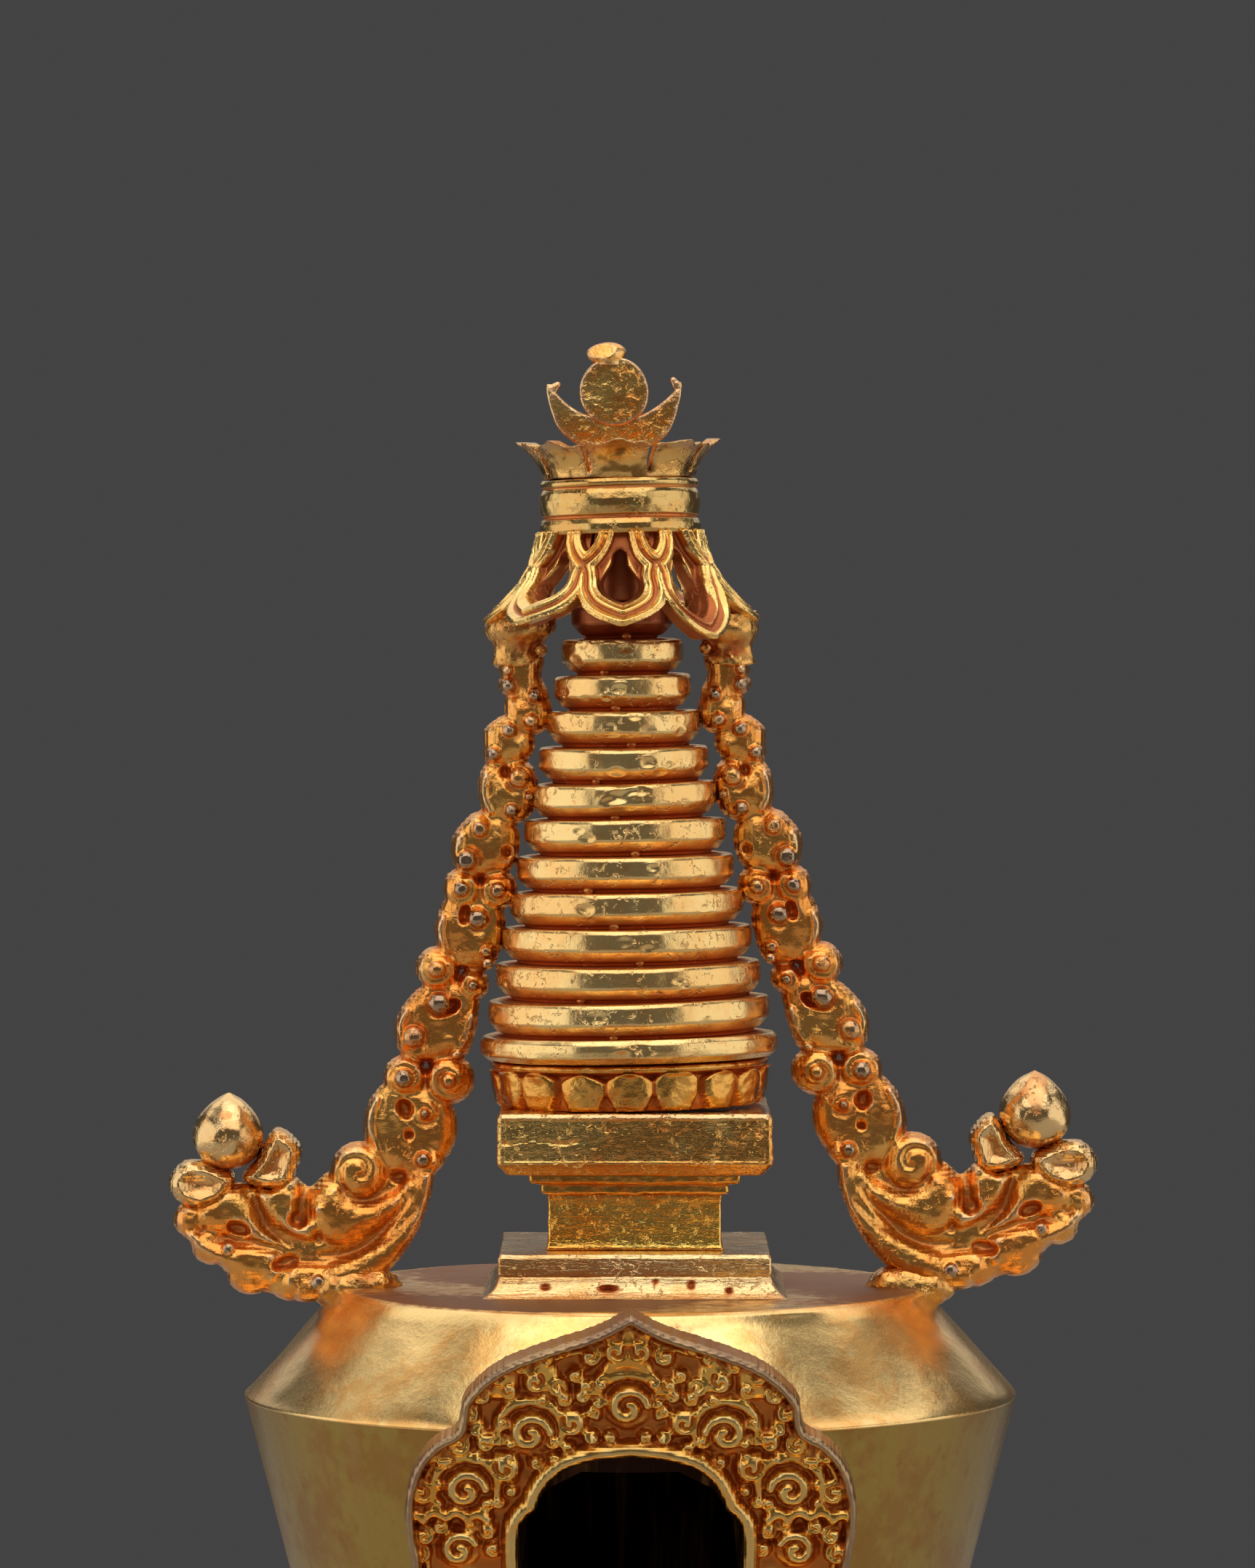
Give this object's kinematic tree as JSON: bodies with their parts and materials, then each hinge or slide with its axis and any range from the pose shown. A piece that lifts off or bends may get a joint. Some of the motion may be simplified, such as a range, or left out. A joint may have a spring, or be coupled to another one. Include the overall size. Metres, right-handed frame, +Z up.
{
  "type": "reliquary stupa",
  "caption": "Gilt copper reliquary stupa with a tapered dome and arched niche, stacked wheel rings, pierced canopy, moon and sun finial, and scrollwork streamers.",
  "frame": {"origin": "centre of the foot's underside", "axes": "+Z up along the spire, the niche faces -Y, +X to the right seen from the front"},
  "size_m": [0.081, 0.081, 0.1367],
  "materials": {
    "fire_gilt": "worn fire gilding, polished",
    "fire_gilt_dull": "worn fire gilding, dulled in the recesses",
    "bare_copper": "oxidised copper"
  },
  "bodies": {
    "stupa": {"foot_plinth": "fire_gilt", "throne_moulding": "fire_gilt", "throne_wall": "fire_gilt_dull", "corner_pillars": "fire_gilt", "throne_panel_front": "fire_gilt_dull", "throne_panel_back": "fire_gilt_dull", "throne_panel_left": "fire_gilt_dull", "throne_panel_right": "fire_gilt_dull", "cornice_lower": "fire_gilt", "cornice_upper": "fire_gilt", "step_1": "fire_gilt", "step_2": "fire_gilt", "step_3": "fire_gilt", "step_4": "fire_gilt", "dome_seat": "fire_gilt_dull", "dome_wall": "fire_gilt_dull", "dome_shoulder": "fire_gilt", "niche_frame": "fire_gilt_dull", "niche_outer_rim": "fire_gilt", "niche_inner_rim": "fire_gilt", "harmika_plinth": "fire_gilt", "harmika_neck": "fire_gilt_dull", "harmika_cornice": "fire_gilt_dull", "harmika_slab": "fire_gilt", "petal_collar": "fire_gilt_dull", "ring_01": "fire_gilt", "ring_02": "fire_gilt", "ring_03": "fire_gilt", "ring_04": "fire_gilt", "ring_05": "fire_gilt", "ring_06": "fire_gilt", "ring_07": "fire_gilt", "ring_08": "fire_gilt", "ring_09": "fire_gilt", "ring_10": "fire_gilt", "ring_11": "fire_gilt", "ring_12": "fire_gilt", "ring_13": "fire_gilt", "ring_tacks": "fire_gilt", "spire_cap": "bare_copper", "spire_rod": "bare_copper", "rod_nut": "bare_copper", "canopy_skirt": "fire_gilt", "canopy_drum": "fire_gilt", "lotus_cup": "fire_gilt", "crescent_moon": "fire_gilt", "sun_disc": "fire_gilt", "jewel_bead": "fire_gilt", "streamer_left": "fire_gilt", "streamer_right": "fire_gilt", "jewel_left": "fire_gilt", "jewel_right": "fire_gilt", "jewel_leaves_left": "fire_gilt", "jewel_leaves_right": "fire_gilt", "shoulder_post_left": "bare_copper", "shoulder_post_right": "bare_copper", "canopy_socket_left": "bare_copper", "canopy_socket_right": "bare_copper"},
    "seal": {"seal_plate": "bare_copper"}
  },
  "joints": [
    {"name": "seal_plate_pull", "type": "slide", "parent": "stupa", "child": "seal", "axis": [0, 0, -1], "range_m": [0, 0.03]}
  ]
}
